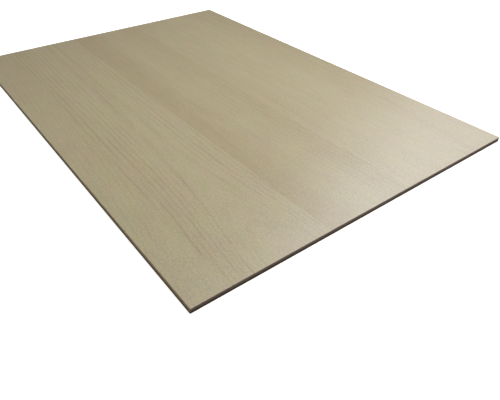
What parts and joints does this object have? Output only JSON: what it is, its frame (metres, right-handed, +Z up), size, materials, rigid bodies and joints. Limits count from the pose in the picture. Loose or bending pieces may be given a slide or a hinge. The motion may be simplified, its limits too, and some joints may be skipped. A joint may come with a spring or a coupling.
{
  "type": "maple veneered mdf sheet",
  "caption": "Thin flat sheet of medium density fibreboard with maple veneer on its face and a balancing veneer on its back, with plain sawn edges.",
  "frame": {"origin": "middle of the underside, on the surface that the sheet lies on", "axes": "+X along the length and the grain, +Y across the width, +Z up out of the veneered face"},
  "size_m": [0.8, 0.6, 0.007],
  "materials": {
    "back_veneer": "plain maple veneer, sanded, unfinished",
    "mdf": "fine medium density fibreboard, sawn edge, unfinished",
    "face_veneer": "crown cut maple veneer, sanded smooth, soft satin sheen"
  },
  "bodies": {
    "root": {"back_veneer": "back_veneer", "mdf_core": "mdf", "face_veneer": "face_veneer"}
  },
  "joints": []
}
